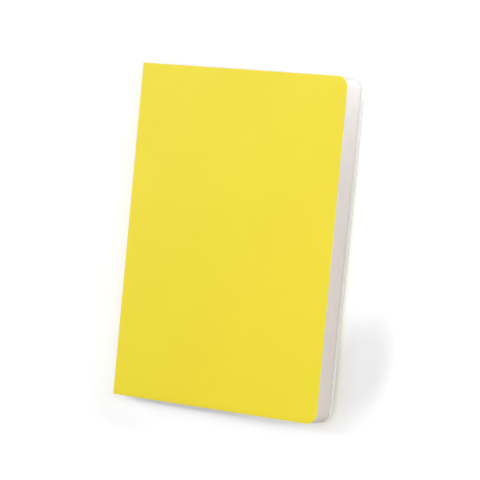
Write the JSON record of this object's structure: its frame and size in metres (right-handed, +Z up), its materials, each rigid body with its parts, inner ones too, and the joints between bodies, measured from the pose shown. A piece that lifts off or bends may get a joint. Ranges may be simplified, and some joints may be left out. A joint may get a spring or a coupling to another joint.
{
  "type": "soft-cover notebook",
  "caption": "Soft-cover notebook with a square glued spine, a trimmed block of pages and a plain card cover with rounded fore-edge corners.",
  "frame": {"origin": "on the surface that the notebook lies on, under the middle of its whole width and height", "axes": "+X from the spine to the fore-edge, +Y from tail to head, +Z up out of the front cover"},
  "size_m": [0.1486, 0.21, 0.0226],
  "materials": {
    "cover_card": "satin",
    "page_paper": "matte",
    "binding_glue": "satin"
  },
  "bodies": {
    "book_block": {"page_block": "page_paper", "spine_glue": "binding_glue", "spine_panel": "cover_card"},
    "front_cover": {"front_cover": "cover_card"},
    "back_cover": {"back_cover": "cover_card"}
  },
  "joints": [
    {"name": "front_cover_hinge", "type": "hinge", "parent": "book_block", "child": "front_cover", "pos_m": [-0.07414, 0, 0.01619], "axis": [0, -1, 0], "range_deg": [0, 180]},
    {"name": "back_cover_hinge", "type": "hinge", "parent": "book_block", "child": "back_cover", "pos_m": [-0.07347, 0, 0.0002], "axis": [0, 1, 0], "range_deg": [0, 181.5]}
  ]
}
